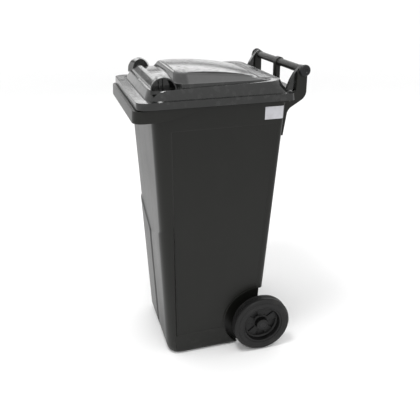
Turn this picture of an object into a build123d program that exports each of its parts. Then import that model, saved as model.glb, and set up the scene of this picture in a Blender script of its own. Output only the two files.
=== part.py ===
"""A two-wheeled kerbside waste bin of 120 litre class, in millimetres.

The origin lies on the ground below the middle of the bin. X runs across the bin, the comb
lip points to -Y, the wheels and the grip bar are at the rear, +Y, and Z is up.
"""

from build123d import *
import os
from math import cos, radians, sin

# ---------------------------------------------------------------- overall sizes
OVERALL_DEPTH = 534.0        # comb lip to the back of the hinge knobs
RIM_TOP = 891.0              # ground to the top of the tub's rim

# ---------------------------------------------------------------- tub
TUB_TOP_WIDTH = 432.0
TUB_TOP_DEPTH = 402.0
TUB_BASE_WIDTH = 340.0
TUB_BASE_DEPTH = 318.0
FRONT_DRAFT = 28.0           # the front wall leans out this far over its height
FRONT_CORNER = 40.0          # upright corner radii
REAR_CORNER = 15.0
TUB_WALL = 4.0
TUB_FLOOR = 5.0
FOOT_RADIUS = 16.0           # rounding along the bottom edge

# ---------------------------------------------------------------- rim and comb lip
LIP_REACH = 56.0             # comb lip in front of the tub's mouth
LIP_DROP = 19.0              # top of the lip below the top of the rim
APRON_FRONT = 53.0           # apron depth below the rim, at the lip
APRON_REAR = 21.0            # and from the middle of the sides backwards
APRON_SWEEP_START = 52.0     # the apron starts to rise this far behind the lip's front
APRON_SWEEP_LENGTH = 190.0
RIM_SIDE_REACH = 17.0
RIM_REAR_REACH = 6.0
RIM_WALL = 4.0
RIM_CORNER = 30.0
COMB_RIBS = 7
COMB_RIB_PITCH = 60.0
COMB_RIB_WIDTH = 4.0

# ---------------------------------------------------------------- hinge and grip bar
HINGE_RISE = 59.0            # hinge axis above the rim
KNOB_RADIUS = 17.0           # the hinge pins' heads, the rearmost points of the bin
GRIP_RADIUS = 11.5
GRIP_BOSS_RADIUS = 15.0
GRIP_BOSS_WIDTH = 28.0
INNER_WEB_FACE = 160.0       # inner face of each bracket's inner web, from the middle
INNER_WEB = 8.0
ARM_WIDTH = 14.0             # lid arm, held between the webs
ARM_SIDE_GAP = 1.0
OUTER_WEB = 10.0
WEB_REAR = 10.0              # rear edge of the webs behind the hinge axis
HEEL_DROP = 77.0             # bracket outline, all measured from the hinge axis
KNEE_SET = 48.0
KNEE_DROP = 112.0
TOE_SET = 60.0
TOE_DROP = 190.0
KNEE_RADIUS = 30.0
HEEL_RADIUS = 22.0
POST_WIDTH = 24.0
POST_DEPTH = 17.0
POST_REAR = 3.0              # rear face of the centre post and the shelf, behind the hinge axis
SHELF_DROP = 2.0             # shelf between the brackets, below the top of the rim
SHELF_THICKNESS = 5.0
INNER_EYE_RADIUS = 13.0
INNER_WEB_FRONT = 17.0       # front edge of the inner web before the hinge axis
INNER_WEB_CUT = 6.0          # its rear edge in front of the outer web's
OUTER_EYE_RADIUS = 15.0
OUTER_WEB_FRONT = 20.0
PIN_RADIUS = 7.0
PIN_HEAD = 9.0
PIN_DEPTH = 10.0             # the pin's seat in the end of the grip bar
ARM_EYE_RADIUS = 14.0
PIN_RUNNING_FIT = 0.06
PRESS_CLEARANCE = 0.02

# ---------------------------------------------------------------- lid
LID_WALL = 3.5
LID_REST_GAP = 0.5           # lid flange above the rim
LID_SIDE_GAP = 3.5           # lid skirt beside the rim
LID_SETBACK = 12.0           # lid front behind the front of the comb lip
LID_REAR_OVERHANG = 9.0      # lid flange behind the rim
LID_SKIRT = 20.0             # depth of the skirt below the flange's top face
LID_CORNER = 32.0
STEP_INSET = 21.0            # raised step, in from the sides of the flange
STEP_FRONT_INSET = 31.0
STEP_REAR_INSET = 8.0
STEP_HEIGHT = 23.0           # at the front; it rises towards the hinge
STEP_RISE = 10.0
STEP_DRAFT = 0.6             # inward run for each unit of height
STEP_CORNER = 50.0
DOME_HALF_WIDTH = 184.0
DOME_SET_FRONT = 91.0        # dome's front foot behind the step's front foot
DOME_SET_REAR = 14.0         # dome's rear foot in front of the step's rear foot
DOME_FOOT = 25.0             # dome's foot above the flange
DOME_DRAFT = 1.3             # inward run for each unit of height
DOME_FRONT_DRAFT = 0.25
DOME_CORNER = 40.0
CROWN_HEIGHT = 60.0          # crown of the dome above the flange
CROWN_SET = 180.0            # its highest point behind the lid's front edge
CROWN_RADIUS = 900.0
CROWN_HALF_ANGLE = 30.0
BLOCK_HEIGHT = 48.0          # cross block between the two grips, above the flange
BLOCK_SET = 22.0             # block's front foot behind the step's front foot
BLOCK_SLOPE = 18.0
HOOD_HEIGHT = 60.0           # grip hoods above the flange
HOOD_SET = 13.0              # hood's front behind the step's front foot
HOOD_LENGTH = 77.0
HOOD_INNER = 164.0           # inner end of each hood, from the middle
HOOD_LENGTH_ACROSS = 39.0
HOOD_CORNER = 30.0
HOOD_SILL = 2.0              # grip opening above the step
ARM_ROOT = 20.0              # lid arm's hold on the flange
ARM_HEEL = 16.0              # and its reach behind the flange

# ---------------------------------------------------------------- wheels and axle
WHEEL_RADIUS = 100.0
TYRE_WIDTH = 46.0
TYRE_BORE = 70.0
TYRE_SHOULDER = 9.0
TYRE_STANDOFF = 40.0         # tyre's inner face from the arch wall
AXLE_RADIUS = 10.0
AXLE_INSET = 1.0             # axle in front of the tub's rear face at the ground
AXLE_FIT = 0.05
AXLE_CHAMFER = 1.0
ARCH_GAP = 22.0              # wheel arch round the wheel
ARCH_DEPTH = 25.0            # arch wall in from the side of the base
CHANNEL_DEPTH = 26.0         # axle channel across the rear, in front of the axle
CHANNEL_HEIGHT = 68.0
LUG_WIDTH = 12.0
LUG_RADIUS = 18.0
INNER_LUG_OFFSET = 62.0
AXLE_BOSS = 5.0              # boss outside each arch wall
AXLE_BOSS_RADIUS = 17.0
WASHER_THICKNESS = 2.0
WASHER_RADIUS = 17.0
WASHER_PLAY = 0.3
HUB_BOSS_RADIUS = 22.0
HUB_BOSS_LENGTH = 62.0
HUB_RING = 8.0
HUB_RING_WIDTH = 40.0
HUB_WEB_SET = 23.0           # web's outer face in from the tyre's outer face
HUB_WEB = 6.0
HUB_WINDOWS = 5              # recesses in the web's outer face
HUB_WINDOW_ANGLE = 44.0
HUB_WINDOW_DEPTH = 3.0
HUB_WINDOW_MARGIN = 4.5      # web left between a recess and the boss or the ring
HUB_WINDOW_CORNER = 3.0
BUSH_RADIUS = 13.0
BUSH_RUNNING_FIT = 0.06
BUSH_LENGTH = 24.0
CAP_RADIUS = 15.0
CAP_LENGTH = 12.0
CAP_END = 3.0
CAP_ROUNDING = 2.5

# ---------------------------------------------------------------- data label
LABEL_WIDTH = 58.0
LABEL_HEIGHT = 38.0
LABEL_THICKNESS = 0.4
LABEL_FROM_REAR = 8.0        # label's rear edge in front of the rear wall
LABEL_BELOW_RIM = 35.0

# ---------------------------------------------------------------- places worked out
LIP_FRONT = -OVERALL_DEPTH / 2
TUB_TOP_FRONT = LIP_FRONT + LIP_REACH
TUB_TOP_REAR = TUB_TOP_FRONT + TUB_TOP_DEPTH
TUB_BASE_FRONT = TUB_TOP_FRONT + FRONT_DRAFT
TUB_BASE_REAR = TUB_BASE_FRONT + TUB_BASE_DEPTH
RIM_HALF = TUB_TOP_WIDTH / 2 + RIM_SIDE_REACH
RIM_REAR = TUB_TOP_REAR + RIM_REAR_REACH
HINGE_Y = OVERALL_DEPTH / 2 - KNOB_RADIUS
HINGE_Z = RIM_TOP + HINGE_RISE
ARM_INNER = INNER_WEB_FACE + INNER_WEB + ARM_SIDE_GAP
ARM_OUTER = ARM_INNER + ARM_WIDTH
OUTER_WEB_INNER = ARM_OUTER + ARM_SIDE_GAP
OUTER_WEB_OUTER = OUTER_WEB_INNER + OUTER_WEB
LID_HALF = RIM_HALF + LID_SIDE_GAP + LID_WALL
LID_FRONT = LIP_FRONT + LID_SETBACK
LID_REAR = RIM_REAR + LID_REAR_OVERHANG
RIM_UPPER_FRONT = LID_FRONT + LID_WALL + LID_SIDE_GAP
LID_BOTTOM = RIM_TOP + LID_REST_GAP
LID_TOP = LID_BOTTOM + LID_WALL
STEP_HALF = LID_HALF - STEP_INSET
STEP_FRONT = LID_FRONT + STEP_FRONT_INSET
STEP_REAR = LID_REAR - STEP_REAR_INSET
DOME_FRONT = STEP_FRONT + DOME_SET_FRONT
DOME_REAR = STEP_REAR - DOME_SET_REAR
HOOD_FRONT = STEP_FRONT + HOOD_SET
HOOD_REAR = HOOD_FRONT + HOOD_LENGTH
HOOD_OUTER = HOOD_INNER + HOOD_LENGTH_ACROSS
AXLE_Y = TUB_BASE_REAR - AXLE_INSET
AXLE_Z = WHEEL_RADIUS
ARCH_RADIUS = WHEEL_RADIUS + ARCH_GAP
ARCH_FACE = TUB_BASE_WIDTH / 2 - ARCH_DEPTH
INNER_WASHER_FACE = ARCH_FACE + AXLE_BOSS
HUB_INNER = INNER_WASHER_FACE + WASHER_THICKNESS + WASHER_PLAY
HUB_OUTER = HUB_INNER + HUB_BOSS_LENGTH
OUTER_WASHER_FACE = HUB_OUTER + WASHER_PLAY
CAP_INNER = OUTER_WASHER_FACE + WASHER_THICKNESS
AXLE_END = CAP_INNER + CAP_LENGTH - CAP_END
TYRE_INNER = ARCH_FACE + TYRE_STANDOFF
TYRE_OUTER = TYRE_INNER + TYRE_WIDTH
FAR = 1000.0                 # reaches past the whole bin, for cutting tools
PAST = 1.0                   # a cutting tool runs past a face by this much

SIDES = {"left": -1, "right": 1}


# ---------------------------------------------------------------- shared shapes
def plan(z, half_width, front, rear, front_radius, rear_radius):
    """Level outline with rounded corners, larger at the front than at the rear."""
    outline = Rectangle(2 * half_width, rear - front)
    outline = fillet(outline.vertices().sort_by(Axis.Y)[:2], front_radius)
    outline = fillet(outline.vertices().sort_by(Axis.Y)[-2:], rear_radius)
    return Pos(0, (front + rear) / 2, z) * outline


def block(x0, x1, y0, y1, z0, z1):
    """Box given by its limits."""
    middle = Pos((x0 + x1) / 2, (y0 + y1) / 2, (z0 + z1) / 2)
    return middle * Box(x1 - x0, y1 - y0, z1 - z0)


def side_slab(outline, x0, x1):
    """Plate with an outline drawn in (y, z), between two places across the bin."""
    return extrude(Plane.YZ.offset(x0) * make_face(outline), x1 - x0)


def cross_rod(radius, x0, x1, y, z):
    """Cylinder that lies across the bin."""
    return Pos((x0 + x1) / 2, y, z) * Rot(0, 90, 0) * Cylinder(radius, abs(x1 - x0))


def on_side(solid, side):
    """The solid as drawn on the right, or its mirror image on the left."""
    return solid if SIDES[side] > 0 else mirror(solid, Plane.YZ)


# ---------------------------------------------------------------- tub
def tub_plan(z, inset=0.0):
    """Outline of the tub's outer face at a height, moved inwards by the inset."""
    share = z / RIM_TOP
    half = (TUB_BASE_WIDTH + (TUB_TOP_WIDTH - TUB_BASE_WIDTH) * share) / 2
    front = TUB_BASE_FRONT + (TUB_TOP_FRONT - TUB_BASE_FRONT) * share
    rear = TUB_BASE_REAR + (TUB_TOP_REAR - TUB_BASE_REAR) * share
    return plan(z, half - inset, front + inset, rear - inset, FRONT_CORNER - inset, REAR_CORNER - inset)


def tub_form(bottom, top, inset):
    """Solid tapered tub between two heights, with a rounded bottom edge."""
    form = loft([tub_plan(bottom, inset), tub_plan(top, inset)], ruled=True)
    return fillet(form.edges().group_by(Axis.Z)[0], FOOT_RADIUS - inset)


def running_gear_space(grow):
    """Both wheel arches and the axle channel between them, grown by a wall."""
    space = block(-ARCH_FACE, ARCH_FACE, AXLE_Y - CHANNEL_DEPTH - grow, FAR,
                  AXLE_Z - CHANNEL_HEIGHT / 2 - grow, AXLE_Z + CHANNEL_HEIGHT / 2 + grow)
    for sign in SIDES.values():
        space += cross_rod(ARCH_RADIUS + grow, sign * (ARCH_FACE - grow), sign * FAR, AXLE_Y, AXLE_Z)
    return space


def axle_lug(x0, x1):
    """Upright lug across the channel, rounded round the axle."""
    front = AXLE_Y - CHANNEL_DEPTH - TUB_WALL / 2
    half = CHANNEL_HEIGHT / 2 + TUB_WALL / 2
    outline = Polyline((front, AXLE_Z - half), (AXLE_Y, AXLE_Z - LUG_RADIUS), (AXLE_Y, AXLE_Z + LUG_RADIUS),
                       (front, AXLE_Z + half), close=True)
    return side_slab(outline, x0, x1) + cross_rod(LUG_RADIUS, x0, x1, AXLE_Y, AXLE_Z)


def tub():
    """Tapered container with wheel arches, axle channel and lugs."""
    shell = tub_form(0, RIM_TOP, 0) - running_gear_space(0)
    shell -= tub_form(TUB_FLOOR, RIM_TOP + PAST, TUB_WALL) - running_gear_space(TUB_WALL)
    for sign in SIDES.values():
        shell += axle_lug(sign * ARCH_FACE, sign * (ARCH_FACE - LUG_WIDTH))
        shell += axle_lug(sign * INNER_LUG_OFFSET, sign * (INNER_LUG_OFFSET - LUG_WIDTH))
        shell += cross_rod(AXLE_BOSS_RADIUS, sign * ARCH_FACE, sign * INNER_WASHER_FACE, AXLE_Y, AXLE_Z)
    return shell - cross_rod(AXLE_RADIUS + AXLE_FIT, -FAR, FAR, AXLE_Y, AXLE_Z)


# ---------------------------------------------------------------- rim and comb lip
def rim_form(inset):
    """Stepped block of the rim: the comb lip below, the lid's seat above."""
    lip_top = RIM_TOP - LIP_DROP
    lip = plan(RIM_TOP - APRON_FRONT - inset, RIM_HALF - inset, LIP_FRONT + inset, RIM_REAR - inset,
               RIM_CORNER - inset, REAR_CORNER - inset)
    seat = plan(lip_top - 2 * RIM_WALL, RIM_HALF - inset, RIM_UPPER_FRONT + inset, RIM_REAR - inset,
                RIM_CORNER - inset, REAR_CORNER - inset)
    return extrude(lip, APRON_FRONT - LIP_DROP) + extrude(seat, LIP_DROP + 2 * RIM_WALL - inset)


def apron_cut():
    """What is below the apron's lower edge, which sweeps up behind the comb lip."""
    low = RIM_TOP - APRON_FRONT
    high = RIM_TOP - APRON_REAR
    start = LIP_FRONT + APRON_SWEEP_START
    end = start + APRON_SWEEP_LENGTH
    sweep = Spline((start, low), (end, high), tangents=((1, 0), (1, 0)))
    rest = Polyline((end, high), (FAR, high), (FAR, low - PAST), (start, low - PAST), (start, low))
    outline = Wire([sweep, *rest.edges()])
    return side_slab(outline, -FAR, FAR)


def rim_and_comb():
    """Hollow rim round the tub's mouth, with the ribbed comb lip at the front."""
    rim = rim_form(0) - rim_form(RIM_WALL)
    bottom = RIM_TOP - APRON_FRONT
    first = -(COMB_RIBS - 1) / 2 * COMB_RIB_PITCH
    for number in range(COMB_RIBS):
        middle = first + number * COMB_RIB_PITCH
        rim += block(middle - COMB_RIB_WIDTH / 2, middle + COMB_RIB_WIDTH / 2, LIP_FRONT + RIM_WALL / 2,
                     TUB_TOP_FRONT + FRONT_CORNER, bottom, RIM_TOP - LIP_DROP - RIM_WALL / 2)
    return rim - apron_cut() - tub_form(0, RIM_TOP + PAST, 0)


# ---------------------------------------------------------------- rear handle
def bracket_back(inset, top):
    """Corner points of the bracket's rear outline, from the toe up to a height."""
    rear = HINGE_Y + WEB_REAR - inset
    toe = (HINGE_Y - TOE_SET - inset, HINGE_Z - TOE_DROP)
    knee = (HINGE_Y - KNEE_SET - inset, HINGE_Z - KNEE_DROP)
    return [toe, knee, (rear, HINGE_Z - HEEL_DROP), (rear, top)]


def gusset_outline(rear_inset, top, front):
    """Closed outline of a bracket plate, with its knee and heel rounded."""
    toe, knee, heel, head = bracket_back(rear_inset, top)
    inner = TUB_TOP_REAR - REAR_CORNER - TUB_WALL
    corners = [toe, knee, heel, head, (front, top), (inner, RIM_TOP - SHELF_DROP), (inner, toe[1])]
    return FilletPolyline(*corners, radius=[0, KNEE_RADIUS, HEEL_RADIUS, 0, 0, 0, 0], close=True)


def web(x0, x1, rear_inset, eye_radius, front_set):
    """Upright bracket plate that carries the hinge eye."""
    plate = side_slab(gusset_outline(rear_inset, HINGE_Z, HINGE_Y - front_set), x0, x1)
    plate -= block(-FAR, FAR, -FAR, HINGE_Y - 2 * front_set, RIM_TOP - SHELF_DROP, FAR)
    return plate + cross_rod(eye_radius, x0, x1, HINGE_Y, HINGE_Z)


def rear_handle():
    """Grip bar with its centre post, the two forked hinge brackets and the shelf between them."""
    shelf_top = RIM_TOP - SHELF_DROP
    handle = cross_rod(GRIP_RADIUS, -INNER_WEB_FACE, INNER_WEB_FACE, HINGE_Y, HINGE_Z)
    handle += cross_rod(GRIP_BOSS_RADIUS, -GRIP_BOSS_WIDTH / 2, GRIP_BOSS_WIDTH / 2, HINGE_Y, HINGE_Z)
    post_back = HINGE_Y + POST_REAR
    handle += block(-POST_WIDTH / 2, POST_WIDTH / 2, post_back - POST_DEPTH, post_back,
                    shelf_top - SHELF_THICKNESS, HINGE_Z)
    handle += block(-OUTER_WEB_OUTER, OUTER_WEB_OUTER, TUB_TOP_REAR - REAR_CORNER, post_back,
                    shelf_top - SHELF_THICKNESS, shelf_top)
    for side in SIDES:
        fork = web(INNER_WEB_FACE, INNER_WEB_FACE + INNER_WEB, INNER_WEB_CUT,
                   INNER_EYE_RADIUS, INNER_WEB_FRONT)
        fork += web(OUTER_WEB_INNER, OUTER_WEB_OUTER, 0.0, OUTER_EYE_RADIUS, OUTER_WEB_FRONT)
        handle += on_side(fork, side)
    handle -= cross_rod(PIN_RADIUS + PRESS_CLEARANCE, INNER_WEB_FACE - PIN_DEPTH, FAR, HINGE_Y, HINGE_Z)
    handle -= cross_rod(PIN_RADIUS + PRESS_CLEARANCE, -FAR, -INNER_WEB_FACE + PIN_DEPTH, HINGE_Y, HINGE_Z)
    return handle - tub_form(0, RIM_TOP + PAST, 0) - rim_form(0)


# ---------------------------------------------------------------- lid
def step_form(inset):
    """Raised step of the lid, filled, with its top rising towards the hinge."""
    def level(z):
        run = STEP_DRAFT * (z - LID_TOP) + inset
        corner = STEP_CORNER - inset
        return plan(z, STEP_HALF - run, STEP_FRONT + run, STEP_REAR - run, corner, corner)
    bottom = LID_BOTTOM - inset
    high = LID_TOP + STEP_HEIGHT + STEP_RISE
    crest = Polyline((STEP_FRONT, bottom), (STEP_FRONT, LID_TOP + STEP_HEIGHT - inset),
                     (STEP_REAR, high - inset), (STEP_REAR, bottom), close=True)
    return loft([level(bottom), level(high)], ruled=True) & side_slab(crest, -FAR, FAR)


def dome_form(inset):
    """Crowned dome of the lid, filled, with a steep front and leaning sides."""
    def level(z):
        rise = z - LID_TOP - DOME_FOOT
        side = DOME_DRAFT * rise + inset
        front = DOME_FRONT_DRAFT * rise + inset
        return plan(z, DOME_HALF_WIDTH - side, DOME_FRONT + front, DOME_REAR - side,
                    DOME_CORNER - inset, DOME_CORNER - inset)
    bottom = LID_TOP + STEP_HEIGHT - 2 * LID_WALL - inset
    high = LID_TOP + CROWN_HEIGHT
    crown_y = LID_FRONT + CROWN_SET
    reach = CROWN_RADIUS * sin(radians(CROWN_HALF_ANGLE))
    drop = CROWN_RADIUS * (1 - cos(radians(CROWN_HALF_ANGLE)))
    crown = ThreePointArc((crown_y - reach, high - drop - inset), (crown_y, high - inset),
                          (crown_y + reach, high - drop - inset))
    ground = Polyline((crown_y + reach, high - drop - inset), (crown_y + reach, 0), (crown_y - reach, 0),
                      (crown_y - reach, high - drop - inset))
    below_crown = side_slab(Wire([crown, *ground.edges()]), -FAR, FAR)
    return loft([level(bottom), level(high)], ruled=True) & below_crown


def cross_block(inset):
    """Ridge that joins the two grips in front of the dome, filled."""
    foot = STEP_FRONT + BLOCK_SET + inset
    bottom = LID_TOP + STEP_HEIGHT - 2 * LID_WALL - inset
    top = LID_TOP + BLOCK_HEIGHT - inset
    rear = DOME_FRONT + DOME_CORNER / 2
    outline = Polyline((foot, bottom), (foot, LID_TOP + STEP_HEIGHT - inset), (foot + BLOCK_SLOPE, top),
                       (rear, top), (rear, bottom), close=True)
    reach = HOOD_INNER + (0 if inset else LID_WALL / 2)
    return side_slab(outline, -reach, reach)


def grip_hood():
    """Right-hand grip: an arched hood, open to the side so that fingers reach under it."""
    def arch(inset, bottom):
        front = HOOD_FRONT + inset
        rear = HOOD_REAR - inset
        top = LID_TOP + HOOD_HEIGHT - inset
        corner = HOOD_CORNER - inset
        return FilletPolyline((front, bottom), (front, top), (rear, top), (rear, bottom),
                              radius=[0, corner, corner, 0], close=True)
    floor = LID_TOP + STEP_HEIGHT
    hood = side_slab(arch(0, floor - LID_WALL / 2), HOOD_INNER, HOOD_OUTER)
    return hood - side_slab(arch(LID_WALL, floor + HOOD_SILL), HOOD_INNER + LID_WALL, FAR)


def lid_arm():
    """Right-hand hinge arm, from the flange's rear edge up to its eye."""
    diagonal = ARM_EYE_RADIUS * sin(radians(45))
    eye_top = (HINGE_Y - diagonal, HINGE_Z + diagonal)
    eye_back = (HINGE_Y + diagonal, HINGE_Z - diagonal)
    root = (LID_REAR - ARM_ROOT / 4, LID_TOP)
    front = ThreePointArc(eye_top, (LID_REAR + ARM_HEEL, HINGE_Z - ARM_EYE_RADIUS), root)
    back = Polyline(root, (LID_REAR - ARM_ROOT, LID_TOP), (LID_REAR - ARM_ROOT, LID_BOTTOM),
                    (LID_REAR + ARM_HEEL, LID_BOTTOM), eye_back, eye_top)
    arm = side_slab(Wire([front, *back.edges()]), ARM_INNER, ARM_OUTER)
    return arm + cross_rod(ARM_EYE_RADIUS, ARM_INNER, ARM_OUTER, HINGE_Y, HINGE_Z)


def lid():
    """Hollow one-piece lid: flange and skirt, step, dome, two grips and two hinge arms."""
    edge = plan(LID_TOP - LID_SKIRT, LID_HALF, LID_FRONT, LID_REAR, LID_CORNER, REAR_CORNER)
    inside = plan(LID_TOP - LID_SKIRT - PAST, LID_HALF - LID_WALL, LID_FRONT + LID_WALL, FAR,
                  LID_CORNER - LID_WALL, LID_WALL)
    shell = extrude(edge, LID_SKIRT) - extrude(inside, LID_SKIRT + PAST - LID_WALL)
    shell += step_form(0) + dome_form(0) + cross_block(0)
    shell -= step_form(LID_WALL) + dome_form(LID_WALL) + cross_block(LID_WALL)
    for side in SIDES:
        shell += on_side(grip_hood(), side) + on_side(lid_arm(), side)
    return shell - cross_rod(PIN_RADIUS + PIN_RUNNING_FIT, -FAR, FAR, HINGE_Y, HINGE_Z)


# ---------------------------------------------------------------- pins, axle and wheels
def hinge_pin():
    """Right-hand push-in hinge pin with its round head outside the bracket."""
    shaft_end = OUTER_WEB_OUTER + PIN_HEAD / 2
    shaft = cross_rod(PIN_RADIUS, INNER_WEB_FACE - PIN_DEPTH, shaft_end, HINGE_Y, HINGE_Z)
    head = cross_rod(KNOB_RADIUS, OUTER_WEB_OUTER, OUTER_WEB_OUTER + PIN_HEAD, HINGE_Y, HINGE_Z)
    return shaft + fillet(head.edges().group_by(Axis.X)[-1], PIN_HEAD / 2)


def axle():
    """Steel axle through all four lugs, with chamfered ends."""
    rod = cross_rod(AXLE_RADIUS, -AXLE_END, AXLE_END, AXLE_Y, AXLE_Z)
    return chamfer(rod.edges().filter_by(GeomType.CIRCLE), AXLE_CHAMFER)


def ring(outer, inner, x0, x1):
    """Ring round the axle."""
    return cross_rod(outer, x0, x1, AXLE_Y, AXLE_Z) - cross_rod(inner, x0 - PAST, x1 + PAST, AXLE_Y, AXLE_Z)


def tyre():
    """Solid rubber tyre with rounded shoulders."""
    tread = cross_rod(WHEEL_RADIUS, TYRE_INNER, TYRE_OUTER, AXLE_Y, AXLE_Z)
    tread = fillet(tread.edges().filter_by(GeomType.CIRCLE), TYRE_SHOULDER)
    return tread - cross_rod(TYRE_BORE, TYRE_INNER - PAST, TYRE_OUTER + PAST, AXLE_Y, AXLE_Z)


def hub_window(angle, x0, x1):
    """Tool for one recess in the hub's web, a rounded sector centred at an angle."""
    low = HUB_BOSS_RADIUS + HUB_WINDOW_MARGIN
    high = TYRE_BORE - HUB_RING - HUB_WINDOW_MARGIN
    half = HUB_WINDOW_ANGLE / 2
    def point(radius, turn):
        return (radius * cos(radians(turn)), radius * sin(radians(turn)))
    outline = [Line(point(low, -half), point(high, -half)),
               ThreePointArc(point(high, -half), point(high, 0), point(high, half)),
               Line(point(high, half), point(low, half)),
               ThreePointArc(point(low, half), point(low, 0), point(low, -half))]
    face = fillet(make_face(Wire(outline)).vertices(), HUB_WINDOW_CORNER)
    sector = Pos(0, AXLE_Y, AXLE_Z) * Rot(angle, 0, 0) * extrude(Plane.YZ * face, x1 - x0)
    return Pos(x0, 0, 0) * sector


def wheel_hub():
    """Moulded hub: long boss on the axle, web with blind recesses, and the ring under the tyre."""
    web_outer = TYRE_OUTER - HUB_WEB_SET
    ring_inner = (TYRE_INNER + TYRE_OUTER - HUB_RING_WIDTH) / 2
    hub = ring(TYRE_BORE, TYRE_BORE - HUB_RING, ring_inner, ring_inner + HUB_RING_WIDTH)
    hub += cross_rod(TYRE_BORE - HUB_RING / 2, web_outer - HUB_WEB, web_outer, AXLE_Y, AXLE_Z)
    hub += cross_rod(HUB_BOSS_RADIUS, HUB_INNER, HUB_OUTER, AXLE_Y, AXLE_Z)
    for number in range(HUB_WINDOWS):
        hub -= hub_window(90 + number * 360 / HUB_WINDOWS, web_outer - HUB_WINDOW_DEPTH, web_outer + PAST)
    return hub - cross_rod(BUSH_RADIUS, HUB_INNER - PAST, HUB_OUTER + PAST, AXLE_Y, AXLE_Z)


def retaining_cap():
    """Closed push-on cap that holds the wheel on the axle's end."""
    cap = cross_rod(CAP_RADIUS, CAP_INNER, CAP_INNER + CAP_LENGTH, AXLE_Y, AXLE_Z)
    cap = fillet(cap.edges().group_by(Axis.X)[-1], CAP_ROUNDING)
    return cap - cross_rod(AXLE_RADIUS + PRESS_CLEARANCE, CAP_INNER - PAST, AXLE_END, AXLE_Y, AXLE_Z)


def wheel_pieces():
    """Pieces of the right wheel and its fixings, by name."""
    bush_bore = AXLE_RADIUS + BUSH_RUNNING_FIT
    washer_bore = AXLE_RADIUS + PRESS_CLEARANCE
    return {
        "tyre": tyre(),
        "wheel_hub": wheel_hub(),
        "hub_bush_inner": ring(BUSH_RADIUS, bush_bore, HUB_INNER, HUB_INNER + BUSH_LENGTH),
        "hub_bush_outer": ring(BUSH_RADIUS, bush_bore, HUB_OUTER - BUSH_LENGTH, HUB_OUTER),
        "inner_washer": ring(WASHER_RADIUS, washer_bore, INNER_WASHER_FACE,
                             INNER_WASHER_FACE + WASHER_THICKNESS),
        "outer_washer": ring(WASHER_RADIUS, washer_bore, OUTER_WASHER_FACE, CAP_INNER),
        "retaining_cap": retaining_cap(),
    }


# ---------------------------------------------------------------- data label
def id_label():
    """Blank adhesive label that follows the right-hand wall near its rear corner."""
    top = RIM_TOP - LABEL_BELOW_RIM
    bottom = top - LABEL_HEIGHT
    rear = TUB_BASE_REAR + (TUB_TOP_REAR - TUB_BASE_REAR) * top / RIM_TOP - LABEL_FROM_REAR
    skin = loft([tub_plan(bottom, -LABEL_THICKNESS), tub_plan(top, -LABEL_THICKNESS)], ruled=True)
    skin -= tub_form(0, RIM_TOP + PAST, 0)
    return skin & block(0, FAR, rear - LABEL_WIDTH, rear, bottom, top)


def build_parts():
    """Every node of the bin, by name."""
    nodes = {"tub": tub(), "rim_and_comb": rim_and_comb(), "rear_handle": rear_handle(),
             "lid": lid(), "axle": axle(), "id_label": id_label()}
    pieces = {"hinge_pin": hinge_pin(), **wheel_pieces()}
    for side in SIDES:
        for name, solid in pieces.items():
            nodes[f"{name}_{side}"] = on_side(solid, side)
    return nodes


if __name__ == "__main__":
    os.makedirs("parts", exist_ok=True)
    for node_name, node_solid in build_parts().items():
        export_step(node_solid, f"parts/{node_name}.step")
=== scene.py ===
"""Finished look of the two-wheeled waste bin, modelled and dressed around its CAD frame.

Every length is in metres in the frame's own axes: X across the bin, the comb lip at -Y, the
wheels and the grip bar at +Y, Z up from the ground.
"""

import logging
import math
from dataclasses import dataclass
from enum import Enum
from typing import Callable, Sequence
import bpy
import bmesh
from mathutils import Matrix, Vector


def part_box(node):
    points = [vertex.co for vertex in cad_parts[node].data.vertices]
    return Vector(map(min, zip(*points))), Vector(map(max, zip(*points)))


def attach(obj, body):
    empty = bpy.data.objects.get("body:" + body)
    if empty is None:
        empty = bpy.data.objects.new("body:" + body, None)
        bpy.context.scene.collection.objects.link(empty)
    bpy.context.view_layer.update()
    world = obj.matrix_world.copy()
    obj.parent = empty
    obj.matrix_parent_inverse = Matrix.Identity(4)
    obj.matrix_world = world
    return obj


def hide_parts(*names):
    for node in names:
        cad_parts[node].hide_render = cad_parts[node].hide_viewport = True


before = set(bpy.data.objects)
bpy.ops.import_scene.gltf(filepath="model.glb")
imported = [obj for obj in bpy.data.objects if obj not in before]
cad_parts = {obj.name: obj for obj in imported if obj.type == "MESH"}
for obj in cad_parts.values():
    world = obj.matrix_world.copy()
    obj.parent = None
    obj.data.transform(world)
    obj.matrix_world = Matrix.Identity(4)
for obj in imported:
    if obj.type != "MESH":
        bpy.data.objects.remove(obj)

log = logging.getLogger("wheelie_bin")
Point = tuple[float, float, float]
Colour = tuple[float, float, float]


# ------------------------------------------------------------------ shader writing
class Sock:
    """A shader value that can be added, subtracted and multiplied."""

    def __init__(self, shader: "Shader", socket: bpy.types.NodeSocket) -> None:
        """Wraps an output socket of a shader's node tree."""
        self.shader = shader
        self.socket = socket

    def _math(self, operation: str, first: "Value", second: "Value") -> "Sock":
        """Adds one Math node and returns its result."""
        return self.shader.node("ShaderNodeMath", {"operation": operation}, {0: first, 1: second})

    def __add__(self, other: "Value") -> "Sock":
        """Sum."""
        return self._math("ADD", self, other)

    def __sub__(self, other: "Value") -> "Sock":
        """Difference."""
        return self._math("SUBTRACT", self, other)

    def __rsub__(self, other: "Value") -> "Sock":
        """Difference with a number on the left."""
        return self._math("SUBTRACT", other, self)

    def __mul__(self, other: "Value") -> "Sock":
        """Product."""
        return self._math("MULTIPLY", self, other)

    def window(self, low: float, high: float) -> "Sock":
        """Smooth step from 0 at low to 1 at high; it falls where low is the larger one."""
        settings = {"interpolation_type": "SMOOTHSTEP", "clamp": True}
        rising = {0: self, 1: min(low, high), 2: max(low, high), 3: 0.0, 4: 1.0}
        step = self.shader.node("ShaderNodeMapRange", settings, rising)
        return step if high > low else 1.0 - step


Value = Sock | float | tuple


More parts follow.
